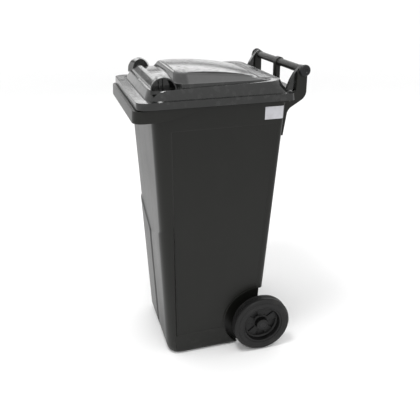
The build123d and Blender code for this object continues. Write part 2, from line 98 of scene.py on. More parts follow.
class Shader:
    """One material's node tree, written as expressions."""

    # sockets of a Mix node that is set to colours
    MIX_FACTOR, MIX_FIRST, MIX_SECOND, MIX_RESULT = 0, 6, 7, 2

    def __init__(self, name: str) -> None:
        """Makes an empty material with its output and its coordinates.

        Args:
            name: the material's name.
        """
        self.material = bpy.data.materials.new(name)
        self.material.use_nodes = True
        self.tree = self.material.node_tree
        self.tree.nodes.clear()
        coordinates = self.tree.nodes.new("ShaderNodeTexCoord")
        self.place = Sock(self, coordinates.outputs["Object"])

    def node(self, kind: str, settings: dict | None = None, inputs: dict | None = None,
             output: int | str = 0) -> Sock:
        """Adds a node of any type.

        Args:
            kind: the node's type name.
            settings: its properties, set before its sockets.
            inputs: socket number or name to a value or another Sock.
            output: which output to return.

        Returns:
            The wrapped output.
        """
        made = self.tree.nodes.new(kind)
        for key, value in (settings or {}).items():
            setattr(made, key, value)
        for key, value in (inputs or {}).items():
            if isinstance(value, Sock):
                self.tree.links.new(value.socket, made.inputs[key])
            else:
                made.inputs[key].default_value = value
        return Sock(self, made.outputs[output])

    def noise(self, scale: float, detail: float = 3.0, stretch: Point = (1, 1, 1)) -> Sock:
        """Fractal noise around 0.5, in cycles a metre.

        Args:
            scale: size of the pattern.
            detail: octaves.
            stretch: factors on the three axes.

        Returns:
            The noise as a number.
        """
        place = self.node("ShaderNodeMapping", None, {"Vector": self.place, "Scale": stretch})
        pattern = {"Vector": place, "Scale": scale, "Detail": detail}
        return self.node("ShaderNodeTexNoise", None, pattern)

    def axis(self, name: str) -> Sock:
        """One coordinate of the shaded point, in metres."""
        return self.node("ShaderNodeSeparateXYZ", None, {0: self.place}, output=name)

    def blend(self, amount: "Value", first: "Value", second: "Value") -> Sock:
        """Mixes two colours.

        Args:
            amount: 0 for the first, 1 for the second.
            first: an RGB colour or a Sock.
            second: an RGB colour or a Sock.

        Returns:
            The mixed colour.
        """
        inputs = {self.MIX_FACTOR: amount}
        for socket, colour in ((self.MIX_FIRST, first), (self.MIX_SECOND, second)):
            inputs[socket] = colour if isinstance(colour, Sock) else (*colour, 1.0)
        return self.node("ShaderNodeMix", {"data_type": "RGBA"}, inputs, self.MIX_RESULT)

    def bump(self, height: Sock, depth: float, under: Sock | None = None) -> Sock:
        """Surface normal from a height pattern.

        Args:
            height: the pattern, 0 to 1.
            depth: metres that 1 stands for.
            under: another bump's normal to add to.

        Returns:
            The normal.
        """
        inputs = {"Height": height, "Distance": depth, "Strength": 1.0}
        if under is not None:
            inputs["Normal"] = under
        return self.node("ShaderNodeBump", None, inputs)

    def surface(self, **inputs: "Value") -> bpy.types.Material:
        """Finishes the material with one Principled shader.

        Args:
            inputs: Principled socket names, with _ for a space.

        Returns:
            The finished material.
        """
        named = {key.replace("_", " "): value for key, value in inputs.items()}
        for key, value in named.items():
            if key.endswith("Color") and not isinstance(value, Sock):
                named[key] = (*value, 1.0)
        principled = self.node("ShaderNodeBsdfPrincipled", None, named)
        output = self.tree.nodes.new("ShaderNodeOutputMaterial")
        self.tree.links.new(principled.socket, output.inputs["Surface"])
        return self.material


# ------------------------------------------------------------------ finishes
@dataclass(frozen=True)
class MouldedPlastic:
    """Injection moulded polyethylene: fine grain, slow sink marks, light scuffs near the ground."""

    # how many features to a metre each pattern has
    CLOUD, FLOW, SCRATCH, SCUFF, SINK = 5.0, 14.0, 160.0, 60.0, 9.0
    # darkest and lightest shade of the colour, and how far worn places are bleached and dusted
    SHADES = (0.85, 1.2)
    BLEACH, DUST = 2.4, 0.008
    # how much of the worn colour shows
    FLOW_TINT, SCUFF_TINT = 0.05, 0.35
    # what each pattern adds to the roughness
    CLOUD_ROUGH, FLOW_ROUGH, SCRATCH_ROUGH, SCUFF_ROUGH = 0.10, 0.03, 0.06, 0.25

    name: str
    colour: Colour = (0.0082, 0.0084, 0.0072)
    roughness: float = 0.32
    specular: float = 0.24
    grain: float = 0.00005
    grain_scale: float = 900.0
    sink: float = 0.0004
    scuffs_below: float = 0.10

    def material(self) -> bpy.types.Material:
        """Builds the material."""
        shader = Shader(self.name)
        grain = shader.noise(self.grain_scale, 4.0)
        cloud = shader.noise(self.CLOUD, 4.0)
        flow = shader.noise(self.FLOW, 3.0, (1.0, 1.0, 0.2)).window(0.35, 0.75)
        scratch = shader.noise(self.SCRATCH, 2.0, (1.0, 0.05, 0.6)).window(0.66, 0.74)
        low = shader.axis("Z").window(self.scuffs_below, 0.0)
        scuffed = shader.noise(self.SCUFF, 5.0).window(0.5, 0.66) * low * self.SCUFF_TINT
        worn = tuple(part * self.BLEACH + self.DUST for part in self.colour)
        dark, light = (tuple(part * shade for part in self.colour) for shade in self.SHADES)
        base = shader.blend(cloud, dark, light)
        base = shader.blend(flow * self.FLOW_TINT, base, worn)
        base = shader.blend(scuffed, base, worn)
        rough = (cloud - 0.5) * self.CLOUD_ROUGH + flow * self.FLOW_ROUGH
        rough = rough + scratch * self.SCRATCH_ROUGH + scuffed * self.SCUFF_ROUGH + self.roughness
        normal = shader.bump(grain, self.grain)
        normal = shader.bump(shader.noise(self.SINK, 2.0), self.sink, normal)
        return shader.surface(Base_Color=base, Roughness=rough, Normal=normal,
                              Specular_IOR_Level=self.specular)


@dataclass(frozen=True)
class Rubber:
    """Solid black rubber, dusty in patches."""

    name: str
    colour: Colour = (0.006, 0.006, 0.006)
    dust: Colour = (0.035, 0.034, 0.031)
    roughness: float = 0.46
    specular: float = 0.28
    grain: float = 0.0001
    lumps: float = 0.0004

    def material(self) -> bpy.types.Material:
        """Builds the material."""
        shader = Shader(self.name)
        grain = shader.noise(1400.0, 4.0)
        patches = shader.noise(26.0, 5.0)
        dusty = patches.window(0.5, 0.75) * 0.3
        base = shader.blend(dusty, self.colour, self.dust)
        rough = grain * 0.1 + dusty * 0.25 + self.roughness
        normal = shader.bump(grain, self.grain, shader.bump(shader.noise(70.0, 4.0), self.lumps))
        return shader.surface(Base_Color=base, Roughness=rough, Normal=normal,
                              Specular_IOR_Level=self.specular)


@dataclass(frozen=True)
class PlatedSteel:
    """Zinc plated drawn steel: lines along the rod, pale bloom in patches."""

    name: str
    colour: Colour = (0.6, 0.61, 0.62)
    bloom: Colour = (0.36, 0.35, 0.33)
    roughness: float = 0.2
    lines: float = 0.00004

    def material(self) -> bpy.types.Material:
        """Builds the material."""
        shader = Shader(self.name)
        drawn = shader.noise(500.0, 3.0, (0.02, 1.0, 1.0))
        bloom = shader.noise(45.0, 5.0).window(0.45, 0.7)
        base = shader.blend(bloom * 0.5, self.colour, self.bloom)
        rough = drawn * 0.18 + bloom * 0.22 + self.roughness
        metal = 1.0 - bloom * 0.35
        return shader.surface(Base_Color=base, Roughness=rough, Metallic=metal,
                              Normal=shader.bump(drawn, self.lines))


@dataclass(frozen=True)
class LabelFilm:
    """White adhesive film, slightly rippled and greyed in patches."""

    name: str
    colour: Colour = (0.50, 0.50, 0.53)
    greyed: Colour = (0.33, 0.32, 0.33)
    roughness: float = 0.35
    ripple: float = 0.00012
    fibre: float = 0.00002

    def material(self) -> bpy.types.Material:
        """Builds the material."""
        shader = Shader(self.name)
        smear = shader.noise(55.0, 4.0)
        fibre = shader.noise(2500.0, 2.0)
        base = shader.blend(smear.window(0.4, 0.75) * 0.45, self.colour, self.greyed)
        rough = smear * 0.2 + self.roughness
        normal = shader.bump(shader.noise(120.0, 2.0), self.ripple, shader.bump(fibre, self.fibre))
        return shader.surface(Base_Color=base, Roughness=rough, Normal=normal)


@dataclass(frozen=True)
class StudioPaper:
    """Matt paper of the studio floor and of the card behind the bin."""

    name: str
    colour: Colour = (0.86, 0.86, 0.86)
    shade: float = 0.985
    roughness: float = 0.9
    tooth: float = 0.0001

    def material(self) -> bpy.types.Material:
        """Builds the material."""
        shader = Shader(self.name)
        shaded = tuple(part * self.shade for part in self.colour)
        base = shader.blend(shader.noise(3.0, 3.0), self.colour, shaded)
        return shader.surface(Base_Color=base, Roughness=self.roughness,
                              Normal=shader.bump(shader.noise(400.0), self.tooth))


class Finish(Enum):
    """Every finish on the bin, by the part of it that is made of it."""

    TUB = MouldedPlastic("container_plastic")
    LID = MouldedPlastic("lid_plastic", (0.008, 0.0084, 0.008), roughness=0.13, specular=0.5,
                         grain=0.000012, grain_scale=700.0, sink=0.00015, scuffs_below=-1.0)
    PIN = MouldedPlastic("pin_plastic", (0.010, 0.010, 0.0108))
    HUB = MouldedPlastic("hub_plastic", (0.006, 0.006, 0.006), roughness=0.30, grain=0.00004,
                         grain_scale=1200.0, sink=0.0002)
    TYRE = Rubber("tyre_rubber")
    CAP = MouldedPlastic("cap_plastic", (0.011, 0.011, 0.0115), roughness=0.30)
    STEEL = PlatedSteel("axle_steel")
    ZINC = PlatedSteel("washer_zinc", (0.55, 0.56, 0.57))
    NYLON = MouldedPlastic("bush_nylon", (0.5, 0.49, 0.45), roughness=0.4, specular=0.5)
    LABEL = LabelFilm("label_film")

    @property
    def slot(self) -> str:
        """The material slot's name, which is the finish's own."""
        return self.value.name


class Wardrobe:
    """Builds each finish once and hands it out."""

    def __init__(self) -> None:
        """Starts with nothing built."""
        self._made: dict[Finish, bpy.types.Material] = {}

    def get(self, finish: Finish) -> bpy.types.Material:
        """The finish's material, built at its first use."""
        if finish not in self._made:
            self._made[finish] = finish.value.material()
        return self._made[finish]

    def dress(self, piece: bpy.types.Object, finish: Finish) -> None:
        """Gives the whole piece one finish."""
        piece.data.materials.clear()
        piece.data.materials.append(self.get(finish))


# ------------------------------------------------------------------ bench work
class NodeBox:
    """A CAD node's box at rest, with the line and radius that a round node has across the bin."""

    def __init__(self, name: str) -> None:
        """Reads the box from the frame."""
        self.low, self.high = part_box(name)
        self.y = (self.low.y + self.high.y) / 2
        self.z = (self.low.z + self.high.z) / 2
        self.radius = (self.high.z - self.low.z) / 2


@dataclass(frozen=True)
class Ring:
    """Rounded outline across the bin, level or leaning along its depth."""

    half: float
    front: float
    rear: float
    z_front: float
    z_rear: float
    front_radius: float
    rear_radius: float

    def corners(self) -> list[Point]:
        """The four sharp corners, the front pair first."""
        return [(-self.half, self.front, self.z_front), (self.half, self.front, self.z_front),
                (self.half, self.rear, self.z_rear), (-self.half, self.rear, self.z_rear)]

    def inset(self, by: float) -> "Ring":
        """The same outline, smaller all round by a distance."""
        return Ring(self.half - by, self.front + by, self.rear - by, self.z_front, self.z_rear,
                    self.front_radius - by, self.rear_radius - by)


class Blank:
    """One mesh on the bench: it is started from outlines or stock, then shaped by hand tools."""

    CORNER_CUTS = 8
    NEAR = 1e-5
    WELD = 2e-5

    def __init__(self, name: str, piece: bpy.types.Object | None = None) -> None:
        """Puts a piece on the bench, or an empty mesh of that name."""
        self.piece = piece or bpy.data.objects.new(name, bpy.data.meshes.new(name))
        if piece is None:
            bpy.context.scene.collection.objects.link(self.piece)
        self._hold()

    def _hold(self) -> None:
        """Makes this the only selected object, in object mode."""
        if bpy.context.mode != "OBJECT":
            bpy.ops.object.mode_set(mode="OBJECT")
        bpy.ops.object.select_all(action="DESELECT")
        bpy.context.view_layer.objects.active = self.piece
        self.piece.select_set(True)

    def _edit(self) -> bmesh.types.BMesh:
        """Opens the mesh in edit mode and returns it."""
        if bpy.context.mode != "EDIT_MESH" or bpy.context.edit_object != self.piece:
            self._hold()
            bpy.ops.object.mode_set(mode="EDIT")
        shape = bmesh.from_edit_mesh(self.piece.data)
        shape.verts.ensure_lookup_table()
        return shape

    def _all(self) -> None:
        """Opens the mesh in edit mode with all of it selected."""
        self._edit()
        bpy.ops.mesh.select_all(action="SELECT")

    # picking
    def _pick(self, kind: str, test: Callable[[object], bool]) -> int:
        """Selects the elements of one kind that pass a test, and returns how many did."""
        shape = self._edit()
        modes = tuple(kind == each for each in ("verts", "edges", "faces"))
        bpy.context.tool_settings.mesh_select_mode = modes
        bpy.ops.mesh.select_all(action="DESELECT")
        shape.normal_update()
        chosen = [element for element in getattr(shape, kind) if test(element)]
        for element in chosen:
            element.select_set(True)
        shape.select_flush_mode()
        return len(chosen)

    def pick_points(self, test: Callable[[Vector], bool]) -> int:
        """Selects points by their place."""
        return self._pick("verts", lambda point: test(point.co))

    def pick_edges(self, test: Callable[[Vector, Vector, float], bool]) -> int:
        """Selects edges by both ends and by the angle between their faces, in degrees."""
        return self._pick("edges", lambda edge: test(edge.verts[0].co, edge.verts[1].co,
                                                     math.degrees(edge.calc_face_angle(0.0))))

    def pick_faces(self, test: Callable[[Vector, Vector], bool]) -> int:
        """Selects faces by their middle and their normal."""
        return self._pick("faces", lambda face: test(face.calc_center_median(), face.normal))

    # stock
    def outline(self, corners: Sequence[Point], rounding: dict[int, float] | None = None,
                cuts: int = CORNER_CUTS) -> "Blank":
        """Draws one flat face on an empty blank, with its corners at given places.

        Args:
            corners: the corners in order.
            rounding: corner number to the distance from the corner at which its rounding starts.
            cuts: segments in each rounding.

        Returns:
            This blank.
        """
        self._edit()
        bpy.ops.mesh.primitive_circle_add(vertices=len(corners), radius=0.01, fill_type="NGON")
        bpy.context.tool_settings.mesh_select_mode = (True, False, False)
        for number, corner in enumerate(corners):
            shape = self._edit()
            bpy.ops.mesh.select_all(action="DESELECT")
            point = shape.verts[number]
            point.select_set(True)
            shape.select_flush_mode()
            bpy.ops.transform.translate(value=Vector(corner) - point.co)
        for radius in sorted(set((rounding or {}).values())):
            places = [Vector(corners[number]) for number, wanted in rounding.items()
                      if wanted == radius]
            self.pick_points(lambda co: any((co - place).length < self.NEAR for place in places))
            bpy.ops.mesh.bevel(offset_type="OFFSET", offset=radius, segments=cuts, affect="VERTICES")
        return self

    def ring(self, ring: Ring) -> "Blank":
        """Draws a ring's outline on an empty blank, as one face."""
        radii = {0: ring.front_radius, 1: ring.front_radius, 2: ring.rear_radius, 3: ring.rear_radius}
        return self.outline(ring.corners(), radii)

    def rod(self, start: Point, end: Point, radius: float, sides: int = 48) -> "Blank":
        """Adds a closed round bar between two points."""
        self._edit()
        along = Vector(end) - Vector(start)
        turn = along.to_track_quat("Z", "Y").to_euler()
        bpy.ops.mesh.primitive_cylinder_add(vertices=sides, radius=radius, depth=along.length,
                                            location=(Vector(start) + Vector(end)) / 2, rotation=turn)
        return self

    def slab(self, low: Point, high: Point) -> "Blank":
        """Adds a box between two corners."""
        self._edit()
        size = Vector(high) - Vector(low)
        middle = (Vector(low) + Vector(high)) / 2
        bpy.ops.mesh.primitive_cube_add(size=1.0, location=middle)
        bpy.ops.transform.resize(value=size, center_override=middle)
        return self

    # hand tools
    def pull(self, by: Point) -> "Blank":
        """Extrudes what is selected along a vector."""
        self._edit()
        bpy.ops.mesh.extrude_region_move(TRANSFORM_OT_translate={"value": by})
        return self

    def thicken(self, by: Point) -> "Blank":
        """Makes a solid of a flat face by extruding all of it."""
        self._all()
        return self.pull(by)

    def shift(self, by: Point) -> "Blank":
        """Moves what is selected."""
        self._edit()
        bpy.ops.transform.translate(value=by)
        return self

    def round_over(self, radius: float, cuts: int) -> "Blank":
        """Rounds the selected edges."""
        self._edit()
        bpy.ops.mesh.bevel(offset_type="OFFSET", offset=radius, segments=cuts, affect="EDGES",
                           clamp_overlap=True)
        return self

    def saw(self, place: Point, normal: Point, drop_below: bool = False,
            within: Callable[[Vector, Vector], bool] | None = None) -> "Blank":
        """Scores the mesh along a plane.

        Args:
            place: a point of the plane.
            normal: its normal.
            drop_below: whether what lies behind the plane is dropped.
            within: which faces are scored, all of them if it is left out.

        Returns:
            This blank.
        """
        self._all()
        if within:
            self.pick_faces(within)
        bpy.ops.mesh.bisect(plane_co=place, plane_no=normal, clear_inner=drop_below, threshold=1e-6)
        return self

    def weld(self) -> "Blank":
        """Merges points that coincide and turns the faces outwards."""
        self._all()
        bpy.ops.mesh.remove_doubles(threshold=self.WELD)
        bpy.ops.mesh.select_all(action="SELECT")
        bpy.ops.mesh.normals_make_consistent(inside=False)
        return self

    def take(self, other: "Blank") -> "Blank":
        """Takes another blank's mesh into this one."""
        other._hold()
        self._hold()
        other.piece.select_set(True)
        bpy.ops.object.join()
        return self

    def loft(self, rings: Sequence[Ring], close_first: bool = False,
             close_last: bool = False) -> "Blank":
        """Skins a row of rings, pair by pair.

        Args:
            rings: the rings in order.
            close_first: fill the first ring.
            close_last: fill the last ring.

        Returns:
            This blank.
        """
        for lower, upper in zip(rings, rings[1:]):
            band = Blank("band").ring(lower).take(Blank("edge").ring(upper))
            band._all()
            bpy.ops.mesh.delete(type="ONLY_FACE")
            bpy.ops.mesh.select_all(action="SELECT")
            bpy.ops.mesh.bridge_edge_loops()
            self.take(band)
        if close_first:
            self.take(Blank("end").ring(rings[0]))
        if close_last:
            self.take(Blank("end").ring(rings[-1]))
        return self.weld()

    def lathe(self, profile: Sequence[tuple[float, float]], axis_y: float, axis_z: float,
              steps: int) -> "Blank":
        """Spins a profile round an axis across the bin; it may start and end on the axis.

        Args:
            profile: (place across, radius) points in order.
            axis_y: the axis's place along the depth.
            axis_z: its height.
            steps: facets round the axis.

        Returns:
            This blank.
        """
        self.outline([(across, axis_y, axis_z + radius) for across, radius in profile])
        self._all()
        bpy.ops.mesh.delete(type="ONLY_FACE")
        near = axis_z + self.NEAR
        if self.pick_edges(lambda a, b, angle: a.z < near and b.z < near):
            bpy.ops.mesh.delete(type="EDGE")
        bpy.ops.mesh.select_all(action="SELECT")
        bpy.ops.mesh.spin(steps=steps, angle=2 * math.pi, center=(0.0, axis_y, axis_z),
                          axis=(1.0, 0.0, 0.0))
        return self.weld()

    def flip(self) -> "Blank":
        """Turns the blank into its mirror image on the other side of the bin."""
        self._all()
        bpy.ops.transform.resize(value=(-1.0, 1.0, 1.0), center_override=(0.0, 0.0, 0.0))
        return self.weld()

    def twin(self, name: str) -> "Blank":
        """A copy of this blank with its own mesh."""
        self._hold()
        bpy.ops.object.duplicate(linked=False)
        copy = Blank(name, bpy.context.object)
        copy.piece.name = name
        copy.piece.data.name = name
        return copy

    # modifiers
    def _apply(self, kind: str, **settings: object) -> "Blank":
        """Adds one modifier, sets it and applies it."""
        self._hold()
        modifier = self.piece.modifiers.new(kind.lower(), kind)
        for key, value in settings.items():
            setattr(modifier, key, value)
        bpy.ops.object.modifier_apply(modifier=modifier.name)
        return self

    def wall(self, thickness: float) -> "Blank":
        """Gives an open skin its wall, inwards."""
        return self._apply("SOLIDIFY", thickness=thickness, offset=-1.0, use_even_offset=True,
                           use_quality_normals=True)

    def mirrored(self) -> "Blank":
        """Adds the mirror image across the middle of the bin."""
        self._apply("MIRROR", use_axis=(True, False, False), use_clip=True, merge_threshold=1e-4)
        return self.weld()

    def _combine(self, tool: "Blank", operation: str) -> "Blank":
        """Applies a Boolean with another blank, which is used up."""
        tool.weld()
        self._apply("BOOLEAN", operation=operation, solver="EXACT", object=tool.piece)
        bpy.data.objects.remove(tool.piece)
        self._hold()
        return self

    def fuse(self, tool: "Blank") -> "Blank":
        """Joins another solid to this one."""
        return self._combine(tool, "UNION")

    def cut(self, tool: "Blank") -> "Blank":
        """Takes another solid out of this one."""
        return self._combine(tool, "DIFFERENCE")

    def keep(self, tool: "Blank") -> "Blank":
        """Keeps what lies inside another solid."""
        return self._combine(tool, "INTERSECT")

    def ease(self, width: float, cuts: int, angle: float) -> "Blank":
        """Eases every edge that is sharper than an angle, in degrees."""
        return self._apply("BEVEL", width=width, segments=cuts, limit_method="ANGLE",
                           angle_limit=math.radians(angle), use_clamp_overlap=True, loop_slide=False)

    def crown(self, drops: Sequence[float], peak: Point, across: float, along: float) -> "Blank":
        """Drops level rows of points onto a wide dome, each row by its own depth below it.

        Args:
            drops: how far below the peak each row lies, and stays below the dome.
            peak: the dome's highest point.
            across: its radius of curvature across the bin.
            along: its radius of curvature along the depth.

        Returns:
            This blank.
        """
        former = Blank("former")
        former._edit()
        bpy.ops.mesh.primitive_uv_sphere_add(segments=128, ring_count=96, radius=along,
                                             location=(peak[0], peak[1], peak[2] - along))
        bpy.ops.transform.resize(value=(math.sqrt(across / along), 1.0, 1.0), center_override=peak)
        for drop in drops:
            self.pick_points(lambda co: abs(co.z - peak[2] + drop) < self.NEAR)
            self._hold()
            group = self.piece.vertex_groups.new(name="crown")
            picked = [point.index for point in self.piece.data.vertices if point.select]
            group.add(picked, 1.0, "REPLACE")
            former.piece.location.z = -drop
            self._apply("SHRINKWRAP", wrap_method="PROJECT", use_project_z=True,
                        use_positive_direction=True, use_negative_direction=True,
                        target=former.piece, vertex_group=group.name)
            self.piece.vertex_groups.clear()
        bpy.data.objects.remove(former.piece)
        self._hold()
        return self

    def facet(self) -> "Blank":
        """Splits the faces that are no longer flat, so that a Boolean can cut them cleanly."""
        self._all()
        bpy.ops.mesh.vert_connect_nonplanar(angle_limit=math.radians(0.05))
        return self

    def finish(self, wardrobe: "Wardrobe", finish: "Finish", body: str, *replaced: str,
               smooth_below: float = 32.0) -> bpy.types.Object:
        """Shades the piece, dresses it and hangs it on its body.

        Args:
            wardrobe: where its finish comes from.
            finish: which finish.
            body: the CAD body that it rides on.
            replaced: the CAD nodes that it stands for.
            smooth_below: edges blunter than this many degrees are shaded smooth.

        Returns:
            The finished object.
        """
        self._all()
        bpy.ops.mesh.dissolve_degenerate(threshold=1e-5)
        self.weld()
        self._hold()
        bpy.ops.object.shade_smooth_by_angle(angle=math.radians(smooth_below))
        self._apply("WEIGHTED_NORMAL", keep_sharp=True)
        wardrobe.dress(self.piece, finish)
        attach(self.piece, body)
        if replaced:
            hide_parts(*replaced)
        log.info("%s: %d faces", self.piece.name, len(self.piece.data.polygons))
        return self.piece


# ------------------------------------------------------------------ lid
@dataclass
class Lid:
    """One-piece lid: flange, raised step, crowned dome, cross block, two grips, two hinge arms."""

    # the shoulder's rounding: share of its width outwards, and drop below the crown
    SHOULDER = ((1.0, 0.0030), (0.72, 0.0016), (0.46, 0.0007), (0.22, 0.0002), (0.0, 0.0))
    # the foot of the dome: outwards at the sides, front and rear, height above the step at the
    # front and rear, corner
    DOME_FOOT = ((0.0045, 0.0055, 0.0040, 0.0, 0.0, 0.044),
                 (0.0012, 0.0035, 0.0010, 0.0105, 0.0012, 0.042),
                 (-0.0045, 0.0, -0.0030, 0.0125, 0.0018, 0.040))

    wall: float = 0.0032
    skirt: float = 0.020
    edge: float = 0.004
    draft: float = 0.0012
    corner: float = 0.032
    rear_corner: float = 0.015
    rear: float = 0.206
    step_inset: float = 0.021
    step_front_inset: float = 0.031
    step_rear_inset: float = 0.008
    step_height: float = 0.023
    step_rise: float = 0.010
    step_corner: float = 0.050
    groove: float = 0.0028
    dome_half: float = 0.1855
    dome_front: float = -0.1345
    dome_rear: float = 0.166
    shoulder_half: float = 0.134
    shoulder_front: float = -0.120
    shoulder_rear: float = 0.116
    shoulder_corner: float = 0.034
    peak: Point = (0.0, -0.077, 0.9605)
    crown_across: float = 1.45
    crown_along: float = 0.93
    score_pitch: float = 0.032
    scores: int = 4
    cross_scores: int = 7
    round_side: float = 0.015
    round_front: float = 0.006
    round_rear: float = 0.020
    block_front: float = -0.203
    block_slope: float = 0.019
    block_height: float = 0.0475
    block_bow_across: float = 1.3
    block_bow_along: float = 3.0
    hood_front: float = -0.211
    hood_rear: float = -0.136
    hood_inner: float = 0.163
    hood_outer: float = 0.203
    hood_rounding: float = 0.0345
    hood_height: float = 0.0600
    hood_wall: float = 0.0038
    hood_lean: float = 0.002
    hood_taper: float = 0.72
    arm_inner: float = 0.169
    arm_outer: float = 0.183
    arm_eye: float = 0.014
    pin_bore: float = 0.00712

    def __post_init__(self) -> None:
        """Reads the lid's place from the frame."""
        low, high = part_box("lid")
        self.half = high.x
        self.front = low.y
        self.bottom = low.z
        self.top = low.z + self.skirt
        pin = NodeBox("hinge_pin_right")
        self.hinge_y, self.hinge_z = pin.y, pin.z

    def step_top(self, y: float) -> float:
        """Height of the step's top face, which rises to the rear."""
        start = self.front + self.step_front_inset
        share = (y - start) / (self.rear - self.step_rear_inset - start)
        return self.top + self.step_height + self.step_rise * share

    def _level(self, half: float, front: float, rear: float, z: float, radius: float,
               rear_radius: float) -> Ring:
        """A level ring."""
        return Ring(half, front, rear, z, z, radius, rear_radius)

    def _on_step(self, half: float, front: float, rear: float, above: tuple[float, float],
                 radius: float) -> Ring:
        """A ring that leans with the step's top, at two heights above it."""
        return Ring(half, front, rear, self.step_top(front) + above[0], self.step_top(rear) + above[1],
                    radius, radius)

    def rings(self) -> list[Ring]:
        """All rings of the outer face, from the skirt's edge to the dome's shoulder."""
        half, front, rear, draft = self.half, self.front, self.rear, self.draft
        foot_half = half - self.step_inset
        foot_front = front + self.step_front_inset
        foot_rear = rear - self.step_rear_inset
        lean = 0.6 * self.step_height
        groove = self.top - self.groove
        corner, rear_corner = self.step_corner, self.step_corner * 0.5
        return [
            self._level(half, front, rear, self.bottom, self.corner, self.rear_corner),
            self._level(half, front, rear, self.bottom + self.edge, self.corner, self.rear_corner),
            self._level(half - draft, front + draft, rear - draft, self.top, self.corner,
                        self.rear_corner),
            self._level(foot_half + 0.0045, foot_front - 0.0045, foot_rear + 0.0035,
                        self.top + 0.0004, corner - 0.002, rear_corner),
            self._level(foot_half + 0.0025, foot_front - 0.0025, foot_rear + 0.0018, groove,
                        corner - 0.001, rear_corner),
            self._level(foot_half, foot_front, foot_rear, groove, corner, rear_corner),
            self._on_step(foot_half - lean + 0.003, foot_front + lean - 0.003,
                          foot_rear - lean + 0.002, (-0.0035, -0.0035), corner),
            self._on_step(foot_half - lean - 0.0005, foot_front + lean, foot_rear - lean,
                          (0.0, 0.0), corner),
            *[self._on_step(self.dome_half + out, self.dome_front - ahead, self.dome_rear + behind,
                            (rise, rear_rise), radius)
              for out, ahead, behind, rise, rear_rise, radius in self.DOME_FOOT],
            *[self.shoulder(out, drop) for out, drop in self.SHOULDER],
        ]

    def shoulder(self, out: float, drop: float) -> Ring:
        """A level ring of the shoulder's rounding, a share outwards and a drop below the crown."""
        z = self.peak[2] - drop
        return self._level(self.shoulder_half + out * self.round_side,
                           self.shoulder_front - out * self.round_front,
                           self.shoulder_rear + out * self.round_rear, z, self.shoulder_corner,
                           self.shoulder_corner)

    def score(self, blank: Blank, within: Callable[[Vector, Vector], bool] | None = None) -> Blank:
        """Scores lines along the bin's depth, so that a crown can bend the surface across them.

        Args:
            blank: what is scored.
            within: which of its faces, all of them if it is left out.

        Returns:
            The same blank.
        """
        for number in range(-self.scores, self.scores + 1):
            blank.saw((number * self.score_pitch, 0, 0), (1, 0, 0), within=within)
        return blank

    def shell(self) -> Blank:
        """The skinned and crowned lid, with its wall."""
        shell = Blank("lid_shell").loft(self.rings(), close_last=True)

        def on_top(middle: Vector, normal: Vector) -> bool:
            """Whether a face lies inside the innermost shoulder ring."""
            return middle.z > self.peak[2] - 1e-5 and normal.z > 0.9

        self.score(shell, on_top)
        first = self.shoulder_front + self.score_pitch / 2
        for number in range(self.cross_scores):
            shell.saw((0, first + number * self.score_pitch, 0), (0, 1, 0), within=on_top)
        shell.weld()
        drops = [drop for _, drop in self.SHOULDER]
        shell.crown(drops, self.peak, self.crown_across, self.crown_along)
        shell.wall(self.wall)
        return shell.ease(0.0018, 3, 33.0)

    def block(self) -> Blank:
        """The ridge that joins the grips, bowed a little along its length."""
        foot = self.step_top(self.block_front) - 0.002
        top = self.top + self.block_height
        rear = self.shoulder_front + 0.012
        reach = self.hood_inner + 0.002
        profile = [(self.block_front, foot), (self.block_front + 0.001, foot + 0.006),
                   (self.block_front + self.block_slope, top), (rear, top), (rear, foot)]
        block = Blank("block").outline([(-reach, y, z) for y, z in profile], {1: 0.004, 2: 0.008}, 4)
        self.score(block.thicken((2 * reach, 0, 0))).weld()
        peak = (0.0, rear, top)
        return block.crown([0.0], peak, self.block_bow_across, self.block_bow_along).facet()

    def arch(self, name: str, low: float, inset: float, rounding: dict[int, float]) -> Blank:
        """A grip's outer form, or the hollow in it.

        Args:
            name: the blank's name.
            low: height of its foot.
            inset: how far it lies inside the outer form.
            rounding: corner number to rounding.

        Returns:
            The arch, wider at its mouth than at its inner end.
        """
        front, rear = self.hood_front + inset, self.hood_rear - inset
        height = self.top + self.hood_height - inset
        lean = self.hood_lean
        side = [(front, low), (front + lean, height), (rear - lean, height), (rear, low)]
        start = self.hood_inner + inset
        blank = Blank(name).outline([(start, y, z) for y, z in side], rounding, 12)
        past = 0.001 if inset else 0.0
        blank.thicken((self.hood_outer - start + past, 0, 0)).weld()
        self._narrow(blank)
        return blank

    def hood(self) -> Blank:
        """Right-hand grip: an arch that is open to the side, with two ribs inside."""
        foot = self.step_top(self.hood_front)
        low, sill = foot - 0.0075, foot + 0.0015
        round_top, inset = self.hood_rounding, self.hood_wall
        hood = self.arch("hood", low, 0.0, {1: round_top, 2: round_top})

        def at_mouth(a: Vector, b: Vector, angle: float) -> bool:
            """Whether an edge runs round either end of the arch, above its foot."""
            return angle > 60 and abs(a.x - b.x) < 1e-5 and min(a.z, b.z) > low + 0.001

        hood.pick_edges(at_mouth)
        hood.round_over(0.0032, 3)
        round_sill, round_inside = 0.003, round_top - inset
        rounding = {0: round_sill, 1: round_inside, 2: round_inside, 3: round_sill}
        hood.cut(self.arch("pocket", sill, inset, rounding))
        middle = (self.hood_front + self.hood_rear) / 2
        rib_top = self.top + self.hood_height - 0.007
        for rib_y in (middle - 0.007, middle + 0.005):
            hood.fuse(Blank("rib").slab((self.hood_inner + 0.002, rib_y, sill - 0.001),
                                        (self.hood_inner + 0.014, rib_y + 0.0022, rib_top)))
        return hood

    def _narrow(self, blank: Blank) -> None:
        """Narrows the inner end of a hood, which flares towards its mouth."""
        blank.pick_faces(lambda middle, normal: normal.x < -0.9)
        middle = (0.0, (self.hood_front + self.hood_rear) / 2, 0.0)
        bpy.ops.transform.resize(value=(1.0, self.hood_taper, 1.0), center_override=middle)

